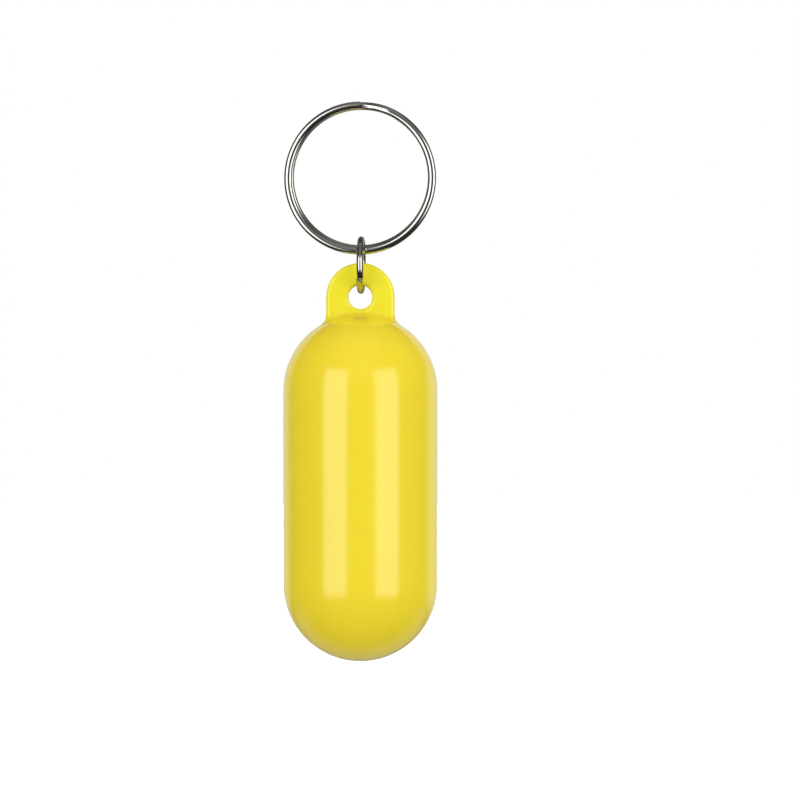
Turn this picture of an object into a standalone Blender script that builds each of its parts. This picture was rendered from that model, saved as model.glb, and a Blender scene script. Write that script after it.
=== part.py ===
"""Floating keychain: a moulded capsule float, a jump ring and a two-turn split ring.

The chain hangs straight down. The origin is the hang point, on the inside of the top of the
split ring. +X is to the right, +Y is away from the viewer and +Z is up. Units are metres.
"""

import math

import bmesh
import bpy
from mathutils import Vector

MM = 0.001

# Split ring: one wire of flattened section, wound in two turns
SPLIT_OUTER_DIAMETER = 25.0 * MM
SPLIT_WIRE_WIDTH = 1.3 * MM
SPLIT_WIRE_THICKNESS = 0.98 * MM
SPLIT_WIRE_SQUARENESS = 2.1
SPLIT_TURN_GAP = 0.1 * MM
SPLIT_CRANK_LENGTH = 5.0 * MM
SPLIT_END_GAP = 0.25 * MM
SPLIT_END_SLANT = 0.9 * MM
SPLIT_TURN_DEG = -6.6
REAR_TURN_INSET = 0.17 * MM
FRONT_TURN_DROP = 0.14 * MM

# Jump ring: round wire, cut once at the front
JUMP_OUTER_DIAMETER = 9.4 * MM
JUMP_WIRE_DIAMETER = 1.1 * MM
JUMP_CUT_WIDTH = 0.2 * MM
JUMP_CUT_DROP_DEG = 33.0
JUMP_END_STEP = 0.12 * MM
JUMP_TURN_DEG = -3.0

# Float: a capsule with an eyelet tab in the plane of its parting line
FLOAT_DIAMETER = 25.0 * MM
FLOAT_STRAIGHT_LENGTH = 31.6 * MM
TAB_WIDTH = 11.2 * MM
TAB_THICKNESS = 2.5 * MM
TAB_EDGE_RADIUS = 0.6 * MM
TAB_FOOT_RADIUS = 0.8 * MM
TAB_HOLE_DIAMETER = 3.9 * MM
TAB_HOLE_EDGE_RADIUS = 0.5 * MM
TAB_HOLE_ABOVE_DOME = 2.8 * MM
PARTING_RIDGE_HEIGHT = 0.08 * MM
PARTING_RIDGE_WIDTH = 0.35 * MM

# Fits between the pieces as they hang
SEAT_GAP = 0.3 * MM
JUMP_SEAT_X = 0.12 * MM
JUMP_PIVOT_DROP = 0.35 * MM

# Fineness of the curved surfaces
FLOAT_SEGMENTS = 48
DOME_STEPS = 10
TAB_ARC_STEPS = 24
FOOT_ARC_STEPS = 5
EDGE_STEPS = 4
HOLE_SEGMENTS = 40
SPLIT_STEP_DEG = 5.0
SPLIT_SECTION_POINTS = 12
JUMP_STEPS = 48

YELLOW = (0.871, 0.672, 0.021, 1.0)
NICKEL = (0.66, 0.65, 0.62, 1.0)


def clear_scene():
    """Remove every object that the scene starts with."""
    for obj in list(bpy.data.objects):
        bpy.data.objects.remove(obj, do_unlink=True)


def make_material(name, base_color, metallic, roughness):
    """Make a Principled BSDF material."""
    material = bpy.data.materials.new(name)
    material.use_nodes = True
    shader = material.node_tree.nodes["Principled BSDF"]
    shader.inputs["Base Color"].default_value = base_color
    shader.inputs["Metallic"].default_value = metallic
    shader.inputs["Roughness"].default_value = roughness
    return material


def add_object(name, data, material=None):
    """Link a mesh or a curve to the scene as a named object."""
    obj = bpy.data.objects.new(name, data)
    bpy.context.scene.collection.objects.link(obj)
    if material is not None:
        data.materials.append(material)
    return obj


def add_pivot(name, location, parent):
    """Place an empty on a joint's axis."""
    pivot = bpy.data.objects.new(name, None)
    pivot.empty_display_size = JUMP_OUTER_DIAMETER / 2
    pivot.location = location
    pivot.parent = parent
    bpy.context.scene.collection.objects.link(pivot)
    return pivot


def finish_mesh(name, bm):
    """Turn a bmesh into a smooth-shaded mesh with its faces pointing out."""
    bmesh.ops.recalc_face_normals(bm, faces=bm.faces)
    mesh = bpy.data.meshes.new(name)
    bm.to_mesh(mesh)
    bm.free()
    mesh.shade_smooth()
    return mesh


def arc(centre_x, centre_z, radius, start_deg, end_deg, steps):
    """Points along an arc in the XZ plane, both ends included."""
    points = []
    for step in range(steps + 1):
        angle = math.radians(start_deg + (end_deg - start_deg) * step / steps)
        points.append((centre_x + radius * math.cos(angle), centre_z + radius * math.sin(angle)))
    return points


def loft(name, loops):
    """Skin a row of closed loops, all with as many points, and cap both ends."""
    bm = bmesh.new()
    rings = [[bm.verts.new(point) for point in loop] for loop in loops]
    for near, far in zip(rings, rings[1:]):
        for index in range(len(near)):
            after = (index + 1) % len(near)
            bm.faces.new((near[index], near[after], far[after], far[index]))
    bm.faces.new(rings[0])
    bm.faces.new(rings[-1])
    return finish_mesh(name, bm)


def spin_solid(name, profile, axis, segments):
    """Turn a profile of (radius, height) points into a solid of revolution about Y or Z."""
    bm = bmesh.new()
    if axis == "Z":
        points = [(radius, 0.0, height) for radius, height in profile]
        direction = (0.0, 0.0, 1.0)
    else:
        points = [(radius, height, 0.0) for radius, height in profile]
        direction = (0.0, 1.0, 0.0)
    verts = [bm.verts.new(point) for point in points]
    edges = [bm.edges.new(pair) for pair in zip(verts, verts[1:])]
    bmesh.ops.spin(bm, geom=verts + edges, cent=(0.0, 0.0, 0.0), axis=direction,
                   angle=math.tau, steps=segments, use_merge=True)
    bmesh.ops.remove_doubles(bm, verts=bm.verts, dist=0.001 * MM)
    return finish_mesh(name, bm)


def apply_boolean(target, tool_mesh, operation):
    """Join a tool mesh to the target, or cut it away, and keep the result."""
    tool = add_object(tool_mesh.name + "_tool", tool_mesh)
    modifier = target.modifiers.new(operation.title(), "BOOLEAN")
    modifier.operation = operation
    modifier.solver = "EXACT"
    modifier.object = tool
    depsgraph = bpy.context.evaluated_depsgraph_get()
    result = bpy.data.meshes.new_from_object(target.evaluated_get(depsgraph))
    target.modifiers.remove(modifier)
    target.data = result
    bpy.data.objects.remove(tool, do_unlink=True)


# Radii and heights that the dimensions above set
SPLIT_FRONT_RADIUS = (SPLIT_OUTER_DIAMETER - SPLIT_WIRE_WIDTH) / 2
SPLIT_REAR_RADIUS = SPLIT_FRONT_RADIUS - REAR_TURN_INSET
SPLIT_REAR_INNER_RADIUS = SPLIT_REAR_RADIUS - SPLIT_WIRE_WIDTH / 2
SPLIT_CENTRE_Z = -SPLIT_REAR_INNER_RADIUS
SPLIT_SEAT_Z = SPLIT_CENTRE_Z - SPLIT_REAR_INNER_RADIUS

JUMP_WIRE_RADIUS = JUMP_WIRE_DIAMETER / 2
JUMP_RADIUS = JUMP_OUTER_DIAMETER / 2 - JUMP_WIRE_RADIUS
JUMP_INNER_RADIUS = JUMP_RADIUS - JUMP_WIRE_RADIUS
JUMP_CENTRE_Z = SPLIT_SEAT_Z + SEAT_GAP - JUMP_INNER_RADIUS

REAR_WIRE_Z = SPLIT_CENTRE_Z - SPLIT_REAR_RADIUS
FRONT_WIRE_Z = SPLIT_CENTRE_Z - FRONT_TURN_DROP - SPLIT_FRONT_RADIUS
JUMP_PIVOT_Z = (REAR_WIRE_Z + FRONT_WIRE_Z) / 2 - JUMP_PIVOT_DROP
FLOAT_PIVOT_Z = JUMP_CENTRE_Z - JUMP_RADIUS

FLOAT_RADIUS = FLOAT_DIAMETER / 2
HOLE_RADIUS = TAB_HOLE_DIAMETER / 2
HOLE_Z = JUMP_CENTRE_Z - JUMP_INNER_RADIUS + SEAT_GAP - HOLE_RADIUS
UPPER_DOME_BELOW_HOLE = TAB_HOLE_ABOVE_DOME + FLOAT_RADIUS
LOWER_DOME_BELOW_HOLE = UPPER_DOME_BELOW_HOLE + FLOAT_STRAIGHT_LENGTH


def split_ring_point(angle):
    """Centre of the wire, at an angle counted along it from its front end at the top.

    The wire runs down the left side and up the right side on the front turn, steps back
    through the crank behind its own front end, and goes round once more on the rear turn.
    """
    crank = SPLIT_CRANK_LENGTH / SPLIT_FRONT_RADIUS
    share = min(max((angle - (math.tau - crank)) / crank, 0.0), 1.0)
    share = share * share * (3.0 - 2.0 * share)
    radius = SPLIT_FRONT_RADIUS - REAR_TURN_INSET * share
    pitch = SPLIT_WIRE_THICKNESS + SPLIT_TURN_GAP
    return Vector((
        -radius * math.sin(angle),
        pitch * (share - 0.5),
        radius * math.cos(angle) + SPLIT_CENTRE_Z - FRONT_TURN_DROP * (1.0 - share),
    ))


def split_ring_section():
    """Section of the wire as (outward, back) points: rolled flat, with round free edges."""
    points = []
    for index in range(SPLIT_SECTION_POINTS):
        angle = math.tau * (index + 0.5) / SPLIT_SECTION_POINTS
        across = math.copysign(abs(math.cos(angle)) ** (2 / SPLIT_WIRE_SQUARENESS), math.cos(angle))
        deep = math.copysign(abs(math.sin(angle)) ** (2 / SPLIT_WIRE_SQUARENESS), math.sin(angle))
        points.append((across * SPLIT_WIRE_WIDTH / 2, deep * SPLIT_WIRE_THICKNESS / 2))
    return points


def split_ring_mesh():
    """Sweep the wire's section along both turns, with a slanted cut at each end."""
    crank = SPLIT_CRANK_LENGTH / SPLIT_FRONT_RADIUS
    end_gap = SPLIT_END_GAP / SPLIT_FRONT_RADIUS
    slant_room = 1.5 * SPLIT_END_SLANT / SPLIT_FRONT_RADIUS
    last = 2 * math.tau - crank - end_gap
    steps = round(math.degrees(last) / SPLIT_STEP_DEG)
    middle = last - slant_room
    angles = [0.0] + [middle * (step + 1) / steps for step in range(steps)] + [last]

    section = split_ring_section()
    nudge = 0.001
    loops = []
    for angle in angles:
        centre = split_ring_point(angle)
        along = (split_ring_point(angle + nudge) - split_ring_point(angle - nudge)).normalized()
        outward = Vector((0.0, 1.0, 0.0)).cross(along).normalized()
        back = along.cross(outward)
        slant = SPLIT_END_SLANT if angle in (0.0, last) else 0.0
        loops.append([
            centre + outward * across + back * deep - along * slant * (0.5 - across / SPLIT_WIRE_WIDTH)
            for across, deep in section
        ])
    return loft("split_ring", loops)


def jump_ring_curve():
    """Round wire bent to one full turn, its ends a step apart and facing across the cut."""
    half_cut = JUMP_CUT_WIDTH / 2 / JUMP_RADIUS
    start = -math.radians(JUMP_CUT_DROP_DEG) + half_cut
    sweep = math.tau - 2 * half_cut
    curve = bpy.data.curves.new("jump_ring", "CURVE")
    curve.dimensions = "3D"
    curve.bevel_depth = JUMP_WIRE_RADIUS
    curve.bevel_resolution = 4
    curve.use_fill_caps = True
    spline = curve.splines.new("POLY")
    spline.points.add(JUMP_STEPS)
    for step, point in enumerate(spline.points):
        share = step / JUMP_STEPS
        angle = start + sweep * share
        side_step = JUMP_END_STEP * (0.5 - share)
        point.co = (side_step, -JUMP_RADIUS * math.cos(angle), JUMP_RADIUS * math.sin(angle), 1.0)
    spline.use_smooth = True
    return curve


def capsule_mesh():
    """The float's capsule, turned about Z, with the tab's hole centre as its origin."""
    profile = arc(0.0, -UPPER_DOME_BELOW_HOLE, FLOAT_RADIUS, 90.0, 0.0, DOME_STEPS)
    profile += arc(0.0, -LOWER_DOME_BELOW_HOLE, FLOAT_RADIUS, 0.0, -90.0, DOME_STEPS)
    return spin_solid("float_body", profile, "Z", FLOAT_SEGMENTS)


def tab_outline(inset):
    """Outline of the tab, drawn in by an inset, with feet that flare onto the dome."""
    half_width = TAB_WIDTH / 2
    foot_x = half_width + TAB_FOOT_RADIUS
    foot_rise = math.sqrt((FLOAT_RADIUS + TAB_FOOT_RADIUS) ** 2 - foot_x ** 2)
    foot_z = foot_rise - UPPER_DOME_BELOW_HOLE
    foot_turn = math.degrees(math.atan2(foot_rise, foot_x))
    foot = arc(foot_x, foot_z, TAB_FOOT_RADIUS + inset, 180.0 + foot_turn, 180.0, FOOT_ARC_STEPS)
    buried_x, buried_z = foot[0]
    root = (buried_x - half_width / 2, buried_z - FLOAT_RADIUS / 4)
    right = [root] + foot
    left = [(-x, z) for x, z in reversed(right)]
    return right + arc(0.0, 0.0, half_width - inset, 0.0, 180.0, TAB_ARC_STEPS) + left


def rounded_plate(name, outline, thickness, edge_radius):
    """A plate in the XZ plane whose rim is rounded front and back."""
    flat_half = thickness / 2 - edge_radius
    front = []
    for step in range(EDGE_STEPS + 1):
        angle = math.pi / 2 * step / EDGE_STEPS
        inset = edge_radius * (1.0 - math.sin(angle))
        depth = -flat_half - edge_radius * math.cos(angle)
        front.append([(x, depth, z) for x, z in outline(inset)])
    rear = [[(x, -depth, z) for x, depth, z in loop] for loop in reversed(front)]
    return loft(name, front + rear)


def hole_cutter():
    """Cutter for the tab's hole, flared so that the hole's edges come out round."""
    edge = TAB_HOLE_EDGE_RADIUS
    skin = 0.02 * MM
    face = TAB_THICKNESS / 2 + skin
    flare = arc(HOLE_RADIUS + edge, face - edge, edge, 180.0, 90.0, EDGE_STEPS)
    beyond = face + TAB_THICKNESS
    upper = flare + [(HOLE_RADIUS + edge, beyond), (0.0, beyond)]
    lower = [(radius, -height) for radius, height in reversed(upper)]
    return spin_solid("tab_hole", lower + upper, "Y", HOLE_SEGMENTS)


def capsule_outline(outset):
    """Outline of the capsule in the parting plane, moved out by an outset."""
    radius = FLOAT_RADIUS + outset
    steps = 2 * DOME_STEPS
    return (arc(0.0, -UPPER_DOME_BELOW_HOLE, radius, 0.0, 180.0, steps)
            + arc(0.0, -LOWER_DOME_BELOW_HOLE, radius, 180.0, 360.0, steps))


def parting_ridge():
    """The fine ridge that the two mould halves leave along the capsule."""
    half = PARTING_RIDGE_WIDTH / 2
    levels = [(-half, -PARTING_RIDGE_HEIGHT), (-half / 3, PARTING_RIDGE_HEIGHT),
              (half / 3, PARTING_RIDGE_HEIGHT), (half, -PARTING_RIDGE_HEIGHT)]
    loops = [[(x, depth, z) for x, z in capsule_outline(outset)] for depth, outset in levels]
    return loft("parting_ridge", loops)


def build_split_ring(material):
    """The split ring, which holds everything else, turned a little about the vertical."""
    ring = add_object("split_ring", split_ring_mesh(), material)
    ring.rotation_euler = (0.0, 0.0, math.radians(SPLIT_TURN_DEG))
    return ring


def build_jump_ring(material, pivot):
    """The jump ring, hung on the split ring's wire."""
    ring = add_object("jump_ring", jump_ring_curve(), material)
    ring.parent = pivot
    ring.location = (JUMP_SEAT_X, 0.0, JUMP_CENTRE_Z - JUMP_PIVOT_Z)
    ring.rotation_euler = (0.0, 0.0, math.radians(JUMP_TURN_DEG - SPLIT_TURN_DEG))
    return ring


def build_float(material, pivot):
    """The float: capsule, parting ridge and tab in one moulding, then the hole."""
    body = add_object("float_body", capsule_mesh(), material)
    apply_boolean(body, parting_ridge(), "UNION")
    apply_boolean(body, rounded_plate("tab", tab_outline, TAB_THICKNESS, TAB_EDGE_RADIUS), "UNION")
    apply_boolean(body, hole_cutter(), "DIFFERENCE")
    body.data.shade_smooth()
    body.data.set_sharp_from_angle(angle=math.radians(30.0))
    body.parent = pivot
    body.location = (0.0, 0.0, HOLE_Z - FLOAT_PIVOT_Z)
    return body


def main():
    """Build the keychain as it hangs."""
    clear_scene()
    nickel = make_material("nickel_plated_steel", NICKEL, 1.0, 0.12)
    yellow = make_material("yellow_plastic", YELLOW, 0.0, 0.2)

    split_ring = build_split_ring(nickel)
    jump_pivot = add_pivot("jump_ring_pivot", (0.0, 0.0, JUMP_PIVOT_Z), split_ring)
    build_jump_ring(nickel, jump_pivot)
    float_pivot = add_pivot("float_pivot", (0.0, 0.0, FLOAT_PIVOT_Z - JUMP_PIVOT_Z), jump_pivot)
    float_pivot.rotation_euler = (0.0, 0.0, math.radians(-SPLIT_TURN_DEG))
    build_float(yellow, float_pivot)


main()
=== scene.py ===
"""Dress the floating keychain: a moulded yellow float on two nickel-plated rings.

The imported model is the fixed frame, and each class here makes one piece over its node, fitted
to the same sizes: a finer mesh, and the finish that the real piece has. Lengths are in metres,
+X is to the right, +Y is away from the viewer and +Z is up. The origin is the hang point.
"""

import logging
import math
from dataclasses import dataclass
from enum import Enum
from typing import Iterable, Sequence

import bmesh
import bpy
import numpy as np
from mathutils import Matrix, Vector


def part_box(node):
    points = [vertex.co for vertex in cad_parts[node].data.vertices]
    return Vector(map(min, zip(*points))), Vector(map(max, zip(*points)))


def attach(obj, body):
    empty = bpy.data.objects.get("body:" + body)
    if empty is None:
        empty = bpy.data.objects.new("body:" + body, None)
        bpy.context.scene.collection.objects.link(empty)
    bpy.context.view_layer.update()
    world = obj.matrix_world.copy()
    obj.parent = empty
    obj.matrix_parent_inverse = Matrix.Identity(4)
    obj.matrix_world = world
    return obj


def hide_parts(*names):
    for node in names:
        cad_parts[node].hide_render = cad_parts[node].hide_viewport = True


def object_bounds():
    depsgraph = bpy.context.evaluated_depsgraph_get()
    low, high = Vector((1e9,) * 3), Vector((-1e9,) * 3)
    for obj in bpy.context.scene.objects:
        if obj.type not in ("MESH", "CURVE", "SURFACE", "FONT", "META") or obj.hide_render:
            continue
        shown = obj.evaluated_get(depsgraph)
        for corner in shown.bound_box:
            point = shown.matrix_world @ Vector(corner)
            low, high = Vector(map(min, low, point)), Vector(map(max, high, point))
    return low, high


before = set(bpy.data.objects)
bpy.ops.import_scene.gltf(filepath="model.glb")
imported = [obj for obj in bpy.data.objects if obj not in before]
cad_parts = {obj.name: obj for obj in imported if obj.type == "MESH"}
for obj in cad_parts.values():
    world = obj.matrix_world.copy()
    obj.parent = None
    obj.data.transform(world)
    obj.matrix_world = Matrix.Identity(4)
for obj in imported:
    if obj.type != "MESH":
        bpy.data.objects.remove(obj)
CAD_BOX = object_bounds()

Color = tuple[float, float, float, float]
Triple = tuple[float, float, float]
Span = tuple[float, float]
Socket = bpy.types.NodeSocket
Number = Socket | float

MM = 0.001
THIN_ATTRIBUTE = "thin"
WHITE: Color = (1.0, 1.0, 1.0, 1.0)
# A wire's edges stay sharp where its faces turn by more than this.
SHARP_DEG = 50.0
# Where the middle section of an end's round stands, as a share of the round.
RIM_STEP = 0.3
log = logging.getLogger("keychain")


class Slot(Enum):
    """The record's material slots."""

    YELLOW = "yellow_plastic"
    NICKEL = "nickel_plated_wire"


class Body(Enum):
    """The bodies that move by themselves."""

    SPLIT_RING = "split_ring"
    JUMP_RING = "jump_ring"
    FLOAT = "float"


class Graph:
    """The nodes of a material, a lamp or the world, wired by short calls.

    Attributes:
        noise_span: The values that a noise seldom leaves.
    """

    noise_span: Span = (0.3, 0.7)

    def __init__(self, tree: bpy.types.NodeTree) -> None:
        """Start with an empty node tree."""
        self.tree = tree
        tree.nodes.clear()

    def add(self, kind: str, inputs: dict[str | int, object] | None = None,
            **settings: object) -> bpy.types.Node:
        """Add one node.

        Args:
            kind: The node's type, without the ShaderNode prefix.
            inputs: Values or output sockets for its inputs, by name or number.
            **settings: Properties of the node itself.

        Returns:
            The new node.
        """
        node = self.tree.nodes.new("ShaderNode" + kind)
        for name, value in settings.items():
            setattr(node, name, value)
        for key, value in (inputs or {}).items():
            if isinstance(value, Socket):
                self.tree.links.new(value, node.inputs[key])
            else:
                node.inputs[key].default_value = value
        return node

    def math(self, operation: str, *values: Number) -> Socket:
        """Work out one number from numbers or output sockets, by an operation of the Math node."""
        return self.add("Math", dict(enumerate(values)), operation=operation).outputs[0]

    def product(self, result: Number, *factors: Number) -> Number:
        """Multiply numbers.

        Args:
            result: The first of them.
            *factors: The others.

        Returns:
            The socket that holds the product.
        """
        for factor in factors:
            result = self.math("MULTIPLY", result, factor)
        return result

    def split(self, vector: Socket) -> list[Socket]:
        """Take a vector apart into the sockets that hold its x, y and z."""
        return list(self.add("SeparateXYZ", {"Vector": vector}).outputs)

    def noise(self, place: Socket, scale: float, detail: float) -> Socket:
        """Soft noise from 0 to 1, by its blotches in a metre and its number of finer layers."""
        return self.add("TexNoise", {"Vector": place, "Scale": scale, "Detail": detail}).outputs[0]

    def spread(self, value: Socket, low: float, high: float) -> Socket:
        """Map the values that a noise mostly has onto a range.

        Args:
            value: The noise.
            low: What its low values become.
            high: What its high values become.

        Returns:
            The socket that holds the mapped value.
        """
        start, end = self.noise_span
        return self.add("MapRange", {"Value": value, "From Min": start, "From Max": end,
                                     "To Min": low, "To Max": high}).outputs[0]

    def rise(self, value: Socket, start: float, end: float) -> Socket:
        """Go smoothly from 0 to 1 while a value goes up or down from a start to an end."""
        return self.add("MapRange", {"Value": value, "From Min": start, "From Max": end},
                        interpolation_type="SMOOTHSTEP").outputs[0]

    def mix(self, share: Number, first: Color | Socket, second: Color | Socket) -> Socket:
        """Blend two colours by the share of the second."""
        node = self.add("Mix", {"Factor": share, "A": first, "B": second}, data_type="RGBA")
        return node.outputs["Result"]

    def blend(self, share: Number, first: Number, second: Number) -> Socket:
        """Blend two numbers by the share of the second."""
        node = self.add("Mix", {"Factor": share, "A": first, "B": second}, data_type="FLOAT")
        return node.outputs["Result"]

    def ramp(self, value: Socket, stops: Sequence[tuple[float, float]]) -> Socket:
        """Grey levels along a value.

        Args:
            value: The position, from 0 to 1.
            stops: Pairs of position and grey level.

        Returns:
            The colour socket.
        """
        node = self.add("ValToRGB", {"Fac": value})
        band = node.color_ramp.elements
        while len(band) < len(stops):
            band.new(1.0)
        for stop, (position, grey) in zip(band, stops):
            stop.position = position
            stop.color = (grey, grey, grey, 1.0)
        return node.outputs["Color"]


@dataclass(frozen=True)
class GlossPlastic:
    """Yellow plastic as it leaves a polished mould, a little clear where it is thin.

    Attributes:
        color: Its colour, and with deep_color the two ends of the flow marks.
        deep_color: Its colour where more pigment has gathered.
        painted_glow_color: Its colour on the thin tab, lighter and more lemon than the capsule: painted light
            that stands for the light that gets through the thin plastic.
        gloss_low: Least roughness of the polished capsule.
        gloss_high: Most roughness of the polished capsule.
        thin_gloss: Roughness of the tab, which the polish hardly reaches.
        ior: Refractive index.
        clearness: How much light goes into the plastic.
        clear_depth: How deep it goes.
        clear_tint: How deep each of red, green and blue goes, as shares of that.
        flow_scale: Flow marks in a metre.
        flow_stretch: Scale of the flow marks along x, y and z, which is low where they are drawn out.
        flow_detail: Finer layers of the flow marks.
        skin_scale: Ripples of the moulded skin in a metre.
        skin_detail: Finer layers of the skin.
        skin_height: Height of the skin's ripples.
    """

    color: Color = (0.885, 0.712, 0.036, 1.0)
    deep_color: Color = (0.870, 0.688, 0.031, 1.0)
    # Painted light: the thin tab is coloured lighter and more lemon for the light that shines through it.
    painted_glow_color: Color = (0.870, 0.785, 0.028, 1.0)
    gloss_low: float = 0.07
    gloss_high: float = 0.12
    thin_gloss: float = 0.18
    ior: float = 1.60
    clearness: float = 0.35
    clear_depth: float = 1.6 * MM
    clear_tint: Triple = (1.0, 0.75, 0.15)
    flow_scale: float = 60.0
    flow_stretch: Triple = (1.0, 1.0, 0.25)
    flow_detail: float = 3.0
    skin_scale: float = 900.0
    skin_detail: float = 2.0
    skin_height: float = 0.0012 * MM

    def material(self) -> bpy.types.Material:
        """Make the material: flow marks in the colour, and a faint skin in gloss and bump.

        Returns:
            The material.
        """
        material = bpy.data.materials.new("yellow_plastic")
        material.use_nodes = True
        graph = Graph(material.node_tree)
        place = graph.add("TexCoord").outputs["Object"]
        stretched = graph.add("Mapping", {"Vector": place, "Scale": self.flow_stretch}).outputs[0]
        flow = graph.noise(stretched, self.flow_scale, self.flow_detail)
        skin = graph.noise(place, self.skin_scale, self.skin_detail)
        body = graph.mix(graph.spread(flow, 0.0, 1.0), self.color, self.deep_color)
        polish = graph.spread(flow, self.gloss_low, self.gloss_high)
        thin = graph.add("Attribute", attribute_name=THIN_ATTRIBUTE).outputs["Fac"]
        bump = graph.add("Bump", {"Height": skin, "Strength": 1.0, "Distance": self.skin_height})
        shader = graph.add("BsdfPrincipled", {
            # Over the tab the colour goes over into the lighter, more lemon one: painted light for the light
            # that shines through the thin plastic.
            "Base Color": graph.mix(thin, body, self.painted_glow_color),
            "Roughness": graph.blend(thin, polish, self.thin_gloss),
            "IOR": self.ior,
            "Subsurface Weight": self.clearness,
            "Subsurface Radius": self.clear_tint,
            "Subsurface Scale": self.clear_depth,
            "Normal": bump.outputs[0],
        })
        graph.add("OutputMaterial", {"Surface": shader.outputs[0]})
        return material


@dataclass(frozen=True)
class NickelPlate:
    """Bright nickel on drawn steel wire, with draw marks along the wire.

    Attributes:
        color: Its colour where it is bright.
        dull_color: Its colour where it is clouded.
        edge_tint: What it reflects at a glancing angle.
        gloss_low: Roughness where it is bright.
        gloss_high: Roughness where it is clouded.
        mark_stretch: How much longer than wide the draw marks are.
        mark_scale: Draw marks in a metre round the wire's girth.
        mark_detail: Finer layers of the draw marks.
        mark_height: Height of the draw marks.
        cloud_scale: Clouds in a metre.
        cloud_detail: Finer layers of the clouds.
    """

    color: Color = (0.72, 0.72, 0.67, 1.0)
    dull_color: Color = (0.58, 0.58, 0.53, 1.0)
    edge_tint: Color = (0.40, 0.40, 0.36, 1.0)
    gloss_low: float = 0.06
    gloss_high: float = 0.16
    mark_stretch: float = 40.0
    mark_scale: float = 4000.0
    mark_detail: float = 2.0
    mark_height: float = 0.0035 * MM
    cloud_scale: float = 300.0
    cloud_detail: float = 3.0

    def material(self) -> bpy.types.Material:
        """Make the material from the wire's own length and girth, which its mesh keeps as UV.

        Returns:
            The material.
        """
        material = bpy.data.materials.new("nickel_plate")
        material.use_nodes = True
        graph = Graph(material.node_tree)
        wire = graph.add("TexCoord").outputs["UV"]
        drawn = graph.add("Mapping", {"Vector": wire, "Scale": (1.0 / self.mark_stretch, 1.0, 1.0)})
        marks = graph.noise(drawn.outputs[0], self.mark_scale, self.mark_detail)
        clouds = graph.noise(wire, self.cloud_scale, self.cloud_detail)
        bump = graph.add("Bump", {"Height": marks, "Strength": 1.0, "Distance": self.mark_height})
        shader = graph.add("BsdfPrincipled", {
            "Base Color": graph.mix(graph.spread(clouds, 0.0, 1.0), self.color, self.dull_color),
            "Metallic": 1.0,
            "Specular Tint": self.edge_tint,
            "Roughness": graph.spread(clouds, self.gloss_low, self.gloss_high),
            "Normal": bump.outputs[0],
        })
        graph.add("OutputMaterial", {"Surface": shader.outputs[0]})
        return material


def place_piece(name: str, mesh: bpy.types.Mesh, material: bpy.types.Material, body: Body,
                node: str) -> bpy.types.Object:
    """Link a finished mesh as the piece that stands for a node.

    Args:
        name: The piece's name.
        mesh: Its mesh, in the frame's own coordinates.
        material: Its finish.
        body: The body that it moves with.
        node: The CAD node that it stands for.

    Returns:
        The new object.
    """
    piece = bpy.data.objects.new(name, mesh)
    bpy.context.scene.collection.objects.link(piece)
    mesh.materials.append(material)
    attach(piece, body.value)
    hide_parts(node)
    log.info("%s: %d faces, rides on %s", name, len(mesh.polygons), body.value)
    return piece


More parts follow.
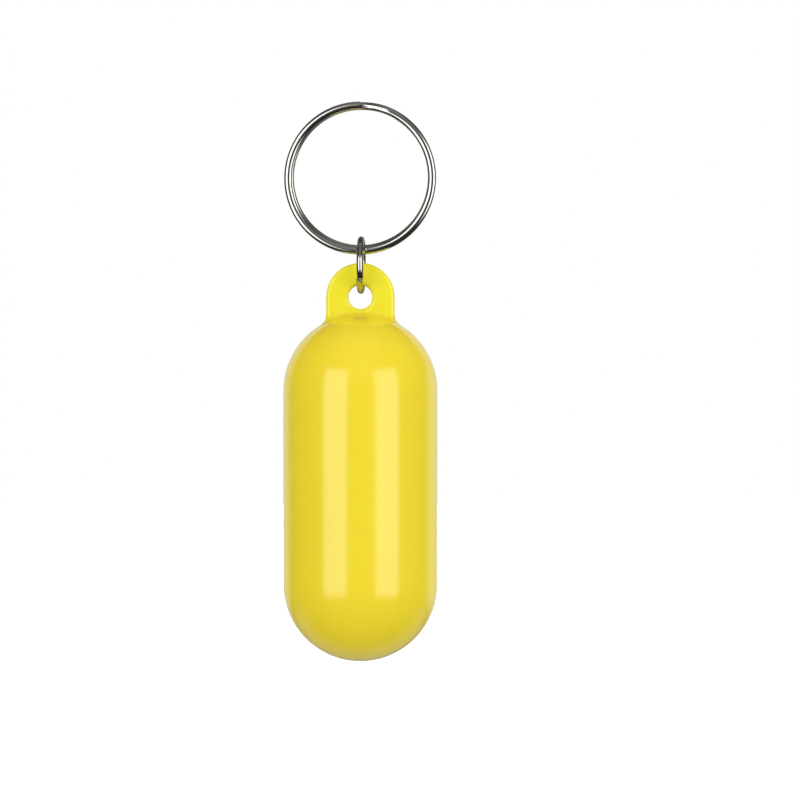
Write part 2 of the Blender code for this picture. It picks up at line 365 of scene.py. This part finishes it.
@dataclass
class FloatBody:
    """The moulded float: a capsule with a parting ridge, an eyelet tab and its hole.

    The form is one distance field, with rounded joins between capsule and tab. A cage of
    blocks is cut finer and laid on that field, so every vertex and every normal is exact.
    Points are counted from the centre of the tab's hole.

    Attributes:
        material: Its finish.
        tab_half_width: Half the tab's width, and the radius of its round top.
        tab_half_thickness: Half the tab's thickness.
        tab_edge: Radius of the tab's edges.
        hole_radius: Radius of the tab's hole.
        hole_edge: Radius of the hole's edges.
        hole_above_dome: From the dome's top up to the hole's centre.
        foot_radius: Radius of the fillet between the tab and the dome.
        ridge_height: Height of the parting ridge.
        ridge_half_width: Half the parting ridge's width.
        thin_start: Height over the capsule at which the plastic starts to count as thin.
        thin_end: Height over the capsule from which it is all thin.
        belt_share: Where the cage has a plane before and behind the tab, as a share of the radius.
        shoulder_share: Where it has a plane across each dome, as a share of the radius.
        cage_cuts: How often the cage is cut finer.
        seat_rounds: Steps that lay a point on the form.
        slope_reach: Step for measuring the form's slope.
        least_steepness: Least squared slope that a step is divided by.
    """

    material: bpy.types.Material
    tab_half_width: float = 5.6 * MM
    tab_half_thickness: float = 1.25 * MM
    tab_edge: float = 0.6 * MM
    hole_radius: float = 1.95 * MM
    hole_edge: float = 0.5 * MM
    hole_above_dome: float = 2.8 * MM
    foot_radius: float = 0.8 * MM
    ridge_height: float = 0.08 * MM
    ridge_half_width: float = 0.175 * MM
    thin_start: float = 0.2 * MM
    thin_end: float = 0.7 * MM
    belt_share: float = 0.45
    shoulder_share: float = 0.5
    cage_cuts: int = 3
    seat_rounds: int = 6
    slope_reach: float = 0.001 * MM
    least_steepness: float = 0.25

    def __post_init__(self) -> None:
        """Take the capsule's size and the tab's place from the frame."""
        low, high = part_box("float_body")
        self.radius = (high.y - low.y) / 2
        self.origin = Vector((0.0, 0.0, high.z - self.tab_half_width))
        self.upper = -(self.hole_above_dome + self.radius)
        self.lower = low.z + self.ridge_height + self.radius - self.origin.z

    def capsule(self, points: np.ndarray) -> np.ndarray:
        """Distance of points from the capsule without its ridge, negative inside.

        Args:
            points: One row for each point.

        Returns:
            One distance for each point.
        """
        x, y, z = points.T
        along = z - np.clip(z, self.lower, self.upper)
        return np.sqrt(x ** 2 + y ** 2 + along ** 2) - self.radius

    def plate(self, outline: np.ndarray, depth: np.ndarray, edge: float) -> np.ndarray:
        """Distance from a plate of the tab's thickness with rounded edges.

        Args:
            outline: Distance from the plate's outline in its own plane.
            depth: Distance from the plate's middle plane.
            edge: Radius of its edges.

        Returns:
            One distance for each point.
        """
        across = outline + edge
        through = depth - self.tab_half_thickness + edge
        outside = np.hypot(np.maximum(across, 0.0), np.maximum(through, 0.0))
        return np.minimum(np.maximum(across, through), 0.0) + outside - edge

    def distance(self, points: np.ndarray) -> np.ndarray:
        """Distance of points from the float's surface, negative inside.

        Args:
            points: One row for each point.

        Returns:
            One distance for each point.
        """
        x, y, z = points.T
        depth = np.abs(y)
        ridge = 0.5 + 0.5 * np.cos(np.pi * np.clip(depth / self.ridge_half_width, 0.0, 1.0))
        capsule = self.capsule(points) - self.ridge_height * ridge
        outline = np.hypot(x, z - np.clip(z, self.upper + self.tab_half_width, 0.0))
        rim = self.plate(outline - self.tab_half_width, depth, self.tab_edge)
        bore = self.plate(self.hole_radius - np.hypot(x, z), depth, self.hole_edge)
        tab = np.maximum(rim, bore)
        fillet = self.foot_radius
        near = np.hypot(np.maximum(fillet - capsule, 0.0), np.maximum(fillet - tab, 0.0))
        return np.maximum(fillet, np.minimum(capsule, tab)) - near

    def slope(self, points: np.ndarray) -> np.ndarray:
        """Gradient of the distance, which is the surface's normal on the surface.

        Args:
            points: One row for each point.

        Returns:
            One row for each point.
        """
        steps = np.eye(3) * self.slope_reach
        columns = [(self.distance(points + step) - self.distance(points - step)) / (2 * self.slope_reach)
                   for step in steps]
        return np.stack(columns, axis=1)

    def seat(self, points: np.ndarray) -> np.ndarray:
        """Move points along the gradient until they lie on the surface.

        Args:
            points: One row for each point.

        Returns:
            The moved points.
        """
        for _ in range(self.seat_rounds):
            slope = self.slope(points)
            steepness = np.maximum((slope ** 2).sum(axis=1), self.least_steepness)
            points = points - slope * (self.distance(points) / steepness)[:, None]
        return points

    def thinness(self, points: np.ndarray) -> np.ndarray:
        """Share of thin plastic at each point, 0 on the capsule and 1 on the tab above its fillet."""
        above = self.capsule(points) - self.thin_start
        return np.clip(above / (self.thin_end - self.thin_start), 0.0, 1.0)

    def block_planes(self) -> tuple[list[float], list[float], list[float]]:
        """Planes that cut the cage into blocks, close together where the form turns quickly.

        Returns:
            The planes across X, Y and Z.
        """
        face_width = self.tab_half_width - self.tab_edge
        hole_band = self.hole_radius + self.hole_edge
        right = [self.hole_radius, hole_band, face_width, self.tab_half_width,
                 self.tab_half_width + 2 * self.foot_radius, self.radius]
        back = [2 * self.ridge_half_width, self.tab_half_thickness,
                self.tab_half_thickness + self.foot_radius, self.belt_share * self.radius, self.radius]
        xs = [-x for x in reversed(right)] + right
        ys = [-y for y in reversed(back)] + back
        shoulder = self.shoulder_share * self.radius
        zs = [self.lower - self.radius, self.lower - shoulder, self.lower, (self.lower + self.upper) / 2,
              self.upper, self.upper + shoulder, -self.hole_above_dome, -hole_band, -self.hole_radius,
              self.hole_radius, hole_band, face_width, self.tab_half_width]
        return xs, ys, zs

    def is_solid(self, x: float, y: float, z: float) -> bool:
        """Whether the block round a point is part of the cage.

        Args:
            x: The point's place to the right.
            y: Its place to the back.
            z: Its height.

        Returns:
            True for a block of the capsule, or of the tab outside its hole.
        """
        if z < -self.hole_above_dome:
            return True
        in_tab = abs(x) < self.tab_half_width and abs(y) < self.tab_half_thickness
        in_hole = abs(x) < self.hole_radius and abs(z) < self.hole_radius
        return in_tab and not in_hole

    def rounded_corner(self, x: float, y: float, z: float) -> Vector:
        """Draw square corners of the tab and of its hole in to their circles.

        Args:
            x: The corner's place to the right.
            y: Its place to the back.
            z: Its height.

        Returns:
            The corner's new place.
        """
        square = max(abs(x), abs(z))
        by_hole = square <= self.hole_radius + self.hole_edge and z > -self.hole_above_dome
        share = square / math.hypot(x, z) if z > 0.0 or by_hole else 1.0
        return Vector((x * share, y, z * share))

    def cage(self) -> bmesh.types.BMesh:
        """Faces between solid and empty blocks, as one closed mesh.

        Returns:
            The cage, with the corners of the tab and the hole drawn in.
        """
        planes = self.block_planes()
        counts = [len(plane) - 1 for plane in planes]
        middles = [[(low + high) / 2 for low, high in zip(plane, plane[1:])] for plane in planes]
        solid = {
            (i, j, k)
            for i in range(counts[0]) for j in range(counts[1]) for k in range(counts[2])
            if self.is_solid(middles[0][i], middles[1][j], middles[2][k])
        }
        bm = bmesh.new()
        corners: dict[tuple[int, ...], bmesh.types.BMVert] = {}

        def corner(key: tuple[int, ...]) -> bmesh.types.BMVert:
            """The vertex at a crossing of three planes.

            Args:
                key: The number of each plane.

            Returns:
                The vertex, made at its first use.
            """
            if key not in corners:
                place = [plane[index] for plane, index in zip(planes, key)]
                corners[key] = bm.verts.new(self.rounded_corner(*place))
            return corners[key]

        for block in sorted(solid):
            for axis in range(3):
                others = [other for other in range(3) if other != axis]
                for side in (0, 1):
                    beyond = list(block)
                    beyond[axis] += 2 * side - 1
                    if tuple(beyond) in solid:
                        continue
                    face = []
                    for steps in ((0, 0), (1, 0), (1, 1), (0, 1)):
                        key = list(block)
                        key[axis] += side
                        for other, step in zip(others, steps):
                            key[other] += step
                        face.append(corner(tuple(key)))
                    bm.faces.new(face)
        return bm

    def mesh(self) -> bpy.types.Mesh:
        """Cut the cage finer, lay it on the form after each cut, and give it exact normals.

        Returns:
            The float's mesh.
        """
        bm = self.cage()
        for _ in range(self.cage_cuts):
            bmesh.ops.subdivide_edges(bm, edges=bm.edges[:], cuts=1, use_grid_fill=True)
            points = self.seat(np.array([vert.co for vert in bm.verts], float))
            for vert, point in zip(bm.verts, points):
                vert.co = point
        bmesh.ops.recalc_face_normals(bm, faces=bm.faces)
        mesh = bpy.data.meshes.new("float_body")
        bm.to_mesh(mesh)
        bm.free()
        points = np.array([vert.co for vert in mesh.vertices], float)
        normals = self.slope(points)
        normals /= np.linalg.norm(normals, axis=1)[:, None]
        mesh.shade_smooth()
        mesh.transform(Matrix.Translation(self.origin))
        mesh.normals_split_custom_set_from_vertices([tuple(normal) for normal in normals])
        thin = mesh.attributes.new(THIN_ATTRIBUTE, "FLOAT", "POINT")
        thin.data.foreach_set("value", self.thinness(points))
        return mesh

    def build(self) -> bpy.types.Object:
        """Make the float and put it on its body."""
        return place_piece("float_shell", self.mesh(), self.material, Body.FLOAT,
                           "float_body")


def rounded_rim(reach: float, radius: float) -> list[tuple[float, float]]:
    """Sections of the small round at the rim of a sheared end.

    Args:
        reach: How far along the wire the round goes, in the unit that the caller counts in.
        radius: The round's radius.

    Returns:
        For each section how far it is from the end, and how far it is drawn in.
    """
    return [(0.0, radius), (RIM_STEP * reach, RIM_STEP * radius), (reach, 0.0)]


def skin_wire(name: str, loops: Sequence[Sequence[Vector]]) -> bpy.types.Mesh:
    """Skin a wire's sections and close its ends, with length and girth kept as UV in metres.

    Args:
        name: The mesh's name.
        loops: The sections in order along the wire, all with as many points.

    Returns:
        The wire's mesh.
    """
    bm = bmesh.new()
    layer = bm.loops.layers.uv.new("wire")
    rows = [[bm.verts.new(point) for point in loop] for loop in loops]
    count = len(rows[0])
    girth = [0.0]
    for index in range(count):
        girth.append(girth[-1] + (loops[0][(index + 1) % count] - loops[0][index]).length)
    length = 0.0
    for near, far in zip(rows, rows[1:]):
        step = (far[0].co - near[0].co).length
        for index in range(count):
            after = (index + 1) % count
            face = bm.faces.new((near[index], near[after], far[after], far[index]))
            places = ((length, girth[index]), (length, girth[index + 1]),
                      (length + step, girth[index + 1]), (length + step, girth[index]))
            for loop, place in zip(face.loops, places):
                loop[layer].uv = place
        length += step
    for row in (rows[0], rows[-1]):
        face = bm.faces.new(row)
        for loop in face.loops:
            loop[layer].uv = (loop.vert.co.x, loop.vert.co.z)
    bmesh.ops.recalc_face_normals(bm, faces=bm.faces)
    mesh = bpy.data.meshes.new(name)
    bm.to_mesh(mesh)
    bm.free()
    mesh.shade_smooth()
    mesh.set_sharp_from_angle(angle=math.radians(SHARP_DEG))
    return mesh


@dataclass
class SplitRing:
    """One wire of flattened section wound in two turns, with a crank and two sheared ends.

    Attributes:
        material: Its finish.
        outer_diameter: Outer diameter of the front turn.
        wire_width: Width of the wire as the ring is seen from the front.
        wire_thickness: Thickness of the wire from front to back.
        wire_squareness: Power of the section's outline: 2 is an ellipse, and more is squarer.
        turn_gap: Gap between the two turns.
        crank_length: Length of the crank between the turns.
        end_gap: Gap between the rear end and the crank.
        end_slant: How far a sheared end slants along the wire.
        end_round: Radius of a sheared end's rim.
        turn_deg: How far the ring is turned about the vertical.
        rear_inset: How much smaller the rear turn's radius is.
        front_drop: How far the front turn's centre lies below the rear turn's.
        step_deg: Angle between two sections.
        section_points: Points of a section.
        slant_fade: How far back the slant fades out, in slants.
        slant_steps: Steps in which it fades at the rear end.
        nudge: Angle in radians to either side, between which the wire's direction is taken.
    """

    material: bpy.types.Material
    outer_diameter: float = 25.0 * MM
    wire_width: float = 1.3 * MM
    wire_thickness: float = 0.98 * MM
    wire_squareness: float = 2.1
    turn_gap: float = 0.1 * MM
    crank_length: float = 5.0 * MM
    end_gap: float = 0.25 * MM
    end_slant: float = 0.9 * MM
    end_round: float = 0.07 * MM
    turn_deg: float = -6.6
    rear_inset: float = 0.17 * MM
    front_drop: float = 0.14 * MM
    step_deg: float = 1.5
    section_points: int = 36
    slant_fade: float = 1.5
    slant_steps: int = 4
    nudge: float = 0.001

    def __post_init__(self) -> None:
        """Work out the radii, the crank's angle and the centre's height from the wire's sizes."""
        self.front_radius = (self.outer_diameter - self.wire_width) / 2
        self.rear_radius = self.front_radius - self.rear_inset
        self.centre_z = self.wire_width / 2 - self.rear_radius
        self.crank = self.crank_length / self.front_radius

    def point(self, angle: float) -> Vector:
        """Centre of the wire at an angle counted along it from its front end at the top.

        Args:
            angle: How far round, in radians, from 0 to a little under two turns.

        Returns:
            The point, before the ring is turned about the vertical.
        """
        share = min(max((angle - (math.tau - self.crank)) / self.crank, 0.0), 1.0)
        share = share * share * (3.0 - 2.0 * share)
        radius = self.front_radius - self.rear_inset * share
        pitch = self.wire_thickness + self.turn_gap
        return Vector((
            -radius * math.sin(angle),
            pitch * (share - 0.5),
            radius * math.cos(angle) + self.centre_z - self.front_drop * (1.0 - share),
        ))

    def section(self, inset: float) -> list[tuple[float, float]]:
        """Section of the wire, rolled flat with round free edges.

        Args:
            inset: How far the section is drawn in, for the rounded rim of an end.

        Returns:
            Points as pairs: outward from the ring's centre, and back.
        """
        power = 2 / self.wire_squareness
        half_width = self.wire_width / 2 - inset
        half_thickness = self.wire_thickness / 2 - inset
        points = []
        for index in range(self.section_points):
            angle = math.tau * (index + 0.5) / self.section_points
            across = math.copysign(abs(math.cos(angle)) ** power, math.cos(angle))
            deep = math.copysign(abs(math.sin(angle)) ** power, math.sin(angle))
            points.append((across * half_width, deep * half_thickness))
        return points

    def stations(self) -> list[tuple[float, float, float]]:
        """Places along the wire where a section stands.

        Returns:
            For each place its angle, how strongly its section slants, and its inset.
        """
        last = 2 * math.tau - self.crank - self.end_gap / self.front_radius
        rim = self.end_round / self.front_radius
        room = self.slant_fade * self.end_slant / self.front_radius
        middle = last - room
        steps = round(math.degrees(last) / self.step_deg)
        ends = rounded_rim(rim, self.end_round)
        stations = [(angle, 1.0, inset) for angle, inset in ends]
        for step in range(1, steps + 1):
            angle = rim + (middle - rim) * step / steps
            stations.append((angle, max(0.0, 1.0 - angle / room), 0.0))
        for step in range(1, self.slant_steps):
            share = step / self.slant_steps
            stations.append((middle + room * share, share, 0.0))
        stations += [(last - angle, 1.0, inset) for angle, inset in reversed(ends)]
        return stations

    def mesh(self) -> bpy.types.Mesh:
        """Sweep the section along both turns, with a slanted cut at each end.

        Returns:
            The ring's mesh, turned about the vertical as it hangs.
        """
        turn = Matrix.Rotation(math.radians(self.turn_deg), 3, "Z")
        loops = []
        for angle, slant, inset in self.stations():
            centre = self.point(angle)
            along = (self.point(angle + self.nudge) - self.point(angle - self.nudge)).normalized()
            outward = Vector((0.0, 1.0, 0.0)).cross(along).normalized()
            back = along.cross(outward)
            loops.append([
                turn @ (centre + outward * across + back * deep
                        - along * slant * self.end_slant * (0.5 - across / self.wire_width))
                for across, deep in self.section(inset)
            ])
        return skin_wire("split_ring_wire", loops)

    def build(self) -> bpy.types.Object:
        """Make the split ring and put it on its body."""
        return place_piece("split_ring_wire", self.mesh(), self.material, Body.SPLIT_RING,
                           "split_ring")


@dataclass
class JumpRing:
    """Round wire bent to one turn, its sheared ends a step apart at the cut.

    Attributes:
        material: Its finish.
        outer_diameter: The ring's outer diameter.
        wire_diameter: The wire's diameter.
        cut_width: Gap between the two ends.
        cut_drop_deg: How far below the ring's front the cut is.
        end_step: How far the ends lie apart sideways.
        end_round: Radius of a sheared end's rim.
        seat_x: How far to the right the ring hangs.
        turn_deg: How far the ring is turned about the vertical.
        steps: Steps along the wire.
        section_points: Points of a section.
    """

    material: bpy.types.Material
    outer_diameter: float = 9.4 * MM
    wire_diameter: float = 1.1 * MM
    cut_width: float = 0.2 * MM
    cut_drop_deg: float = 33.0
    end_step: float = 0.12 * MM
    end_round: float = 0.06 * MM
    seat_x: float = 0.12 * MM
    turn_deg: float = -3.0
    steps: int = 160
    section_points: int = 32

    def __post_init__(self) -> None:
        """Take the ring's height from the frame."""
        low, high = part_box("jump_ring")
        self.centre = Vector((self.seat_x, 0.0, (low.z + high.z) / 2))
        self.radius = (self.outer_diameter - self.wire_diameter) / 2

    def mesh(self) -> bpy.types.Mesh:
        """Sweep the round section from one side of the cut to the other.

        Returns:
            The ring's mesh, turned about the vertical as it hangs.
        """
        half_cut = self.cut_width / 2 / self.radius
        start = half_cut - math.radians(self.cut_drop_deg)
        sweep = math.tau - 2 * half_cut
        rim = self.end_round / self.radius / sweep
        ends = rounded_rim(rim, self.end_round)
        stations = ends + [(rim + (1.0 - 2 * rim) * step / self.steps, 0.0)
                           for step in range(1, self.steps)]
        stations += [(1.0 - share, inset) for share, inset in reversed(ends)]
        around = [math.tau * index / self.section_points for index in range(self.section_points)]
        turn = Matrix.Rotation(math.radians(self.turn_deg), 3, "Z")
        side = Vector((1.0, 0.0, 0.0))
        loops = []
        for share, inset in stations:
            angle = start + sweep * share
            outward = Vector((0.0, -math.cos(angle), math.sin(angle)))
            middle = outward * self.radius + side * self.end_step * (0.5 - share)
            reach = self.wire_diameter / 2 - inset
            loops.append([
                turn @ (middle + (outward * math.cos(point) + side * math.sin(point)) * reach) + self.centre
                for point in around
            ])
        return skin_wire("jump_ring_wire", loops)

    def build(self) -> bpy.types.Object:
        """Make the jump ring and put it on its body."""
        return place_piece("jump_ring_wire", self.mesh(), self.material, Body.JUMP_RING,
                           "jump_ring")


@dataclass
class Softbox:
    """A rectangular softbox that faces the object from one side of the camera.

    Attributes:
        name: The lamp's name.
        azimuth_deg: Angle at the object from the camera to the softbox, positive towards +X.
        elevation_deg: Angle at the object from the level up to the softbox.
        distance: How far away it stands.
        width: Its width.
        height: Its height.
        fade: Share of its width and height in which each edge dims.
        radiance: Its brightness inside the dimmed edges, where 1 would show as plain white.
    """

    name: str
    azimuth_deg: float
    elevation_deg: float = 5.5
    distance: float = 0.5
    width: float = 0.445
    height: float = 0.62
    fade: float = 0.25
    radiance: float = 2.1

    def build(self, target: Vector) -> bpy.types.Object:
        """Hang the softbox.

        Args:
            target: The point that it faces.

        Returns:
            The lamp.
        """
        lamp = bpy.data.lights.new(self.name, "AREA")
        lamp.shape = "RECTANGLE"
        lamp.size = self.width
        lamp.size_y = self.height
        lamp.energy = self.radiance * math.pi * self.width * self.height
        self.soften(lamp)
        azimuth = math.radians(self.azimuth_deg)
        elevation = math.radians(self.elevation_deg)
        away = Vector((
            math.sin(azimuth) * math.cos(elevation),
            -math.cos(azimuth) * math.cos(elevation),
            math.sin(elevation),
        ))
        softbox = bpy.data.objects.new(self.name, lamp)
        bpy.context.scene.collection.objects.link(softbox)
        softbox.location = target + away * self.distance
        softbox.rotation_euler = away.to_track_quat("Z", "Y").to_euler()
        softbox.visible_camera = False
        return softbox

    def soften(self, lamp: bpy.types.AreaLight) -> None:
        """Let the cloth dim towards the softbox's edges.

        Args:
            lamp: The lamp's data.
        """
        lamp.use_nodes = True
        graph = Graph(lamp.node_tree)
        across, up, _ = graph.split(graph.add("NewGeometry").outputs["Parametric"])
        edges = ((0.0, self.fade), (1.0, 1.0 - self.fade))
        glow = graph.product(*[graph.rise(place, *edge) for place in (across, up) for edge in edges])
        cloth = graph.add("Emission", {"Strength": glow})
        graph.add("OutputLight", {"Surface": cloth.outputs[0]})


@dataclass(frozen=True)
class RoomReflection:
    """What the studio looks like in anything that shines, as grey levels by direction.

    A direction's parts are x, to the right, y, away from the camera, and z, up. A span is a pair
    of values of such a part, between which one level goes over into the next.

    Attributes:
        level_stops: Levels round the horizon, by the angle from the camera as a share of half a turn.
        camera_side: Level of the ceiling over the camera.
        flags: Level of the dark flags over and beside the object.
        floor: Level of the floor near the object.
        backdrop: Level of the backdrop.
        right_wall: Level of the bright wall on the right.
        far_floor: Level of the floor towards the backdrop.
        ceiling_span: Heights between which the horizon goes over into the ceiling.
        ceiling_side: Distances to either side between which the ceiling goes over into the flags.
        flag_span: Depths between which the ceiling goes over into the flags.
        floor_span: Heights between which the horizon goes over into the floor.
        backdrop_span: Depths between which the backdrop starts.
        backdrop_foot: Heights between which its lower edge lies.
        backdrop_head: Heights between which its upper edge lies.
        right_span: Depths between which the right wall starts.
        right_side: Distances to the right between which its edge lies.
        right_height: Heights, up and down, between which it ends.
        far_floor_span: Depths between which the far floor starts.
        far_floor_edge: Heights between which its edge lies.
    """

    level_stops: tuple[Span, ...] = ((0.0, 0.04), (0.05, 0.04), (0.08, 0.14),
                                     (0.33, 0.14), (0.37, 0.06), (1.0, 0.04))
    camera_side: float = 0.24
    flags: float = 0.07
    floor: float = 0.03
    backdrop: float = 0.70
    right_wall: float = 0.85
    far_floor: float = 0.42
    ceiling_span: Span = (0.05, 0.50)
    ceiling_side: Span = (0.15, 0.50)
    flag_span: Span = (0.0, 0.25)
    floor_span: Span = (-0.02, -0.12)
    backdrop_span: Span = (0.50, 0.85)
    backdrop_foot: Span = (-0.35, -0.10)
    backdrop_head: Span = (0.58, 0.42)
    right_span: Span = (0.25, 0.75)
    right_side: Span = (0.30, 0.60)
    right_height: Span = (0.38, 0.12)
    far_floor_span: Span = (0.05, 0.60)
    far_floor_edge: Span = (-0.15, -0.45)

    def level(self, graph: Graph, way: Socket) -> Socket:
        """Grey level that a direction shows.

        Args:
            graph: The world's nodes.
            way: The direction looked in.

        Returns:
            The socket that holds the level.
        """
        x, y, z = graph.split(way)
        sideways = graph.math("ABSOLUTE", x)
        turn = graph.math("ARCTAN2", sideways, graph.math("MULTIPLY", y, -1.0))
        level = graph.ramp(graph.math("DIVIDE", turn, math.pi), self.level_stops)
        flagged = graph.math("MAXIMUM", graph.rise(y, *self.flag_span),
                             graph.rise(sideways, *self.ceiling_side))
        ceiling = graph.blend(flagged, self.camera_side, self.flags)
        level = graph.blend(graph.rise(z, *self.ceiling_span), level, ceiling)
        level = graph.blend(graph.rise(z, *self.floor_span), level, self.floor)
        backdrop = graph.product(graph.rise(y, *self.backdrop_span), self.backdrop,
                                 graph.rise(z, *self.backdrop_foot), graph.rise(z, *self.backdrop_head))
        right = graph.product(graph.rise(y, *self.right_span), self.right_wall,
                              graph.rise(x, *self.right_side),
                              graph.rise(graph.math("ABSOLUTE", z), *self.right_height))
        far_floor = graph.product(graph.rise(y, *self.far_floor_span), self.far_floor,
                                  graph.rise(z, *self.far_floor_edge))
        for light in (backdrop, right, far_floor):
            level = graph.math("MAXIMUM", level, light)
        return level


@dataclass
class Studio:
    """The picture's surroundings: white sweep, two softboxes, dark flags and a long lens.

    Attributes:
        ambient: Level of the room's even light.
        ambient_lean: How much that level grows to the right, away from the camera and upward.
        back_light: How much it grows behind the object.
        reflection: What the room looks like in anything that shines.
        softboxes: Name and azimuth of each softbox.
        floor_drop: How far below the object the floor lies.
        floor_size: Length of the floor's sides.
        paper: Colour of the floor's paper.
        glow: Level that the camera sees the paper glow with, near the object and far out.
        glow_span: Distances between which it goes from the one to the other.
        picture_width: Width of the picture at the object.
        picture_centre_x: Middle of the picture, to the right of the hang point.
        picture_centre_z: Height of the picture's middle.
        lens: Focal length in millimetres.
        sensor: Width of the sensor in millimetres.
    """

    ambient: float = 0.65
    ambient_lean: Triple = (0.11, 0.0, 0.06)
    back_light: float = 0.50
    reflection: RoomReflection = RoomReflection()
    softboxes: tuple[tuple[str, float], ...] = (("softbox_left", -38.3), ("softbox_right", 40.6))
    floor_drop: float = 45.0 * MM
    floor_size: float = 6.0
    paper: Color = (0.62, 0.62, 0.62, 1.0)
    glow: Span = (0.36, 1.0)
    glow_span: Span = (0.10, 0.45)
    picture_width: float = 130.7 * MM
    picture_centre_x: float = 6.47 * MM
    picture_centre_z: float = -47.4 * MM
    lens: float = 200.0
    sensor: float = 36.0

    def world(self) -> None:
        """Light the room: white to the camera, and what a studio shows to anything that shines."""
        world = bpy.data.worlds.new("studio")
        bpy.context.scene.world = world
        world.use_nodes = True
        graph = Graph(world.node_tree)
        way = graph.add("TexCoord").outputs["Generated"]
        lean = graph.add("VectorMath", {0: way, 1: self.ambient_lean}, operation="DOT_PRODUCT")
        ambient = graph.math("ADD", lean.outputs["Value"], self.ambient)
        _, away, _ = graph.split(way)
        behind = graph.math("MAXIMUM", away, 0.0)
        ambient = graph.math("MULTIPLY_ADD", behind, self.back_light, ambient)
        path = graph.add("LightPath").outputs
        light = graph.mix(path["Is Glossy Ray"], ambient, self.reflection.level(graph, way))
        direct = graph.math("MAXIMUM", path["Is Camera Ray"], path["Is Transmission Ray"])
        background = graph.add("Background", {"Color": graph.mix(direct, light, WHITE), "Strength": 1.0})
        graph.add("OutputWorld", {"Surface": background.outputs[0]})

    def floor_material(self) -> bpy.types.Material:
        """White paper that keeps the object's shadow and fades to plain white further out.

        Returns:
            The material.
        """
        material = bpy.data.materials.new("white_paper")
        material.use_nodes = True
        graph = Graph(material.node_tree)
        place = graph.add("TexCoord").outputs["Object"]
        flat = graph.add("Mapping", {"Vector": place, "Scale": (1.0, 1.0, 0.0)}).outputs[0]
        reach = graph.add("VectorMath", {0: flat}, operation="LENGTH").outputs["Value"]
        near, far = self.glow_span
        low, high = self.glow
        fade = graph.add("MapRange", {"Value": reach, "From Min": near, "From Max": far,
                                      "To Min": low, "To Max": high})
        direct = graph.add("LightPath").outputs["Is Camera Ray"]
        paper = graph.add("BsdfDiffuse", {"Color": self.paper})
        glow = graph.add("Emission", {"Color": WHITE,
                                      "Strength": graph.math("MULTIPLY", fade.outputs[0], direct)})
        both = graph.add("AddShader", {0: paper.outputs[0], 1: glow.outputs[0]})
        graph.add("OutputMaterial", {"Surface": both.outputs[0]})
        return material

    def floor(self, low: Vector) -> bpy.types.Object:
        """Lay the pale floor below the hanging object.

        Args:
            low: The object's lowest corner.

        Returns:
            The floor.
        """
        half = self.floor_size / 2
        level = low.z - self.floor_drop
        bm = bmesh.new()
        corners = [bm.verts.new((x * half, y * half, level)) for x, y in ((-1, -1), (1, -1), (1, 1), (-1, 1))]
        bm.faces.new(corners)
        mesh = bpy.data.meshes.new("floor")
        bm.to_mesh(mesh)
        bm.free()
        mesh.materials.append(self.floor_material())
        floor = bpy.data.objects.new("floor", mesh)
        bpy.context.scene.collection.objects.link(floor)
        floor.visible_glossy = False
        return floor

    def camera(self) -> bpy.types.Object:
        """Set up the level camera in front of the object, as far off as its lens asks.

        Returns:
            The camera.
        """
        data = bpy.data.cameras.new("camera")
        data.lens = self.lens
        data.sensor_width = self.sensor
        camera = bpy.data.objects.new("camera", data)
        bpy.context.scene.collection.objects.link(camera)
        distance = self.picture_width * self.lens / self.sensor
        camera.location = (self.picture_centre_x, -distance, self.picture_centre_z)
        camera.rotation_euler = (math.pi / 2, 0.0, 0.0)
        bpy.context.scene.camera = camera
        return camera

    def build(self, low: Vector, high: Vector) -> None:
        """Set up the studio round the object.

        Args:
            low: The object's lowest corner.
            high: The object's highest corner.
        """
        self.world()
        self.floor(low)
        self.camera()
        for name, azimuth in self.softboxes:
            Softbox(name, azimuth).build((low + high) / 2)
        bpy.context.scene.view_settings.view_transform = "Standard"


def main() -> None:
    """Make the three pieces and the studio, and note the sizes."""
    logging.basicConfig(level=logging.INFO, format="%(name)s: %(message)s")
    nickel = NickelPlate().material()
    pieces = [
        SplitRing(nickel).build(),
        JumpRing(nickel).build(),
        FloatBody(GlossPlastic().material()).build(),
    ]
    log.info("%d pieces built", len(pieces))
    Studio().build(*CAD_BOX)


if __name__ == "__main__":
    main()
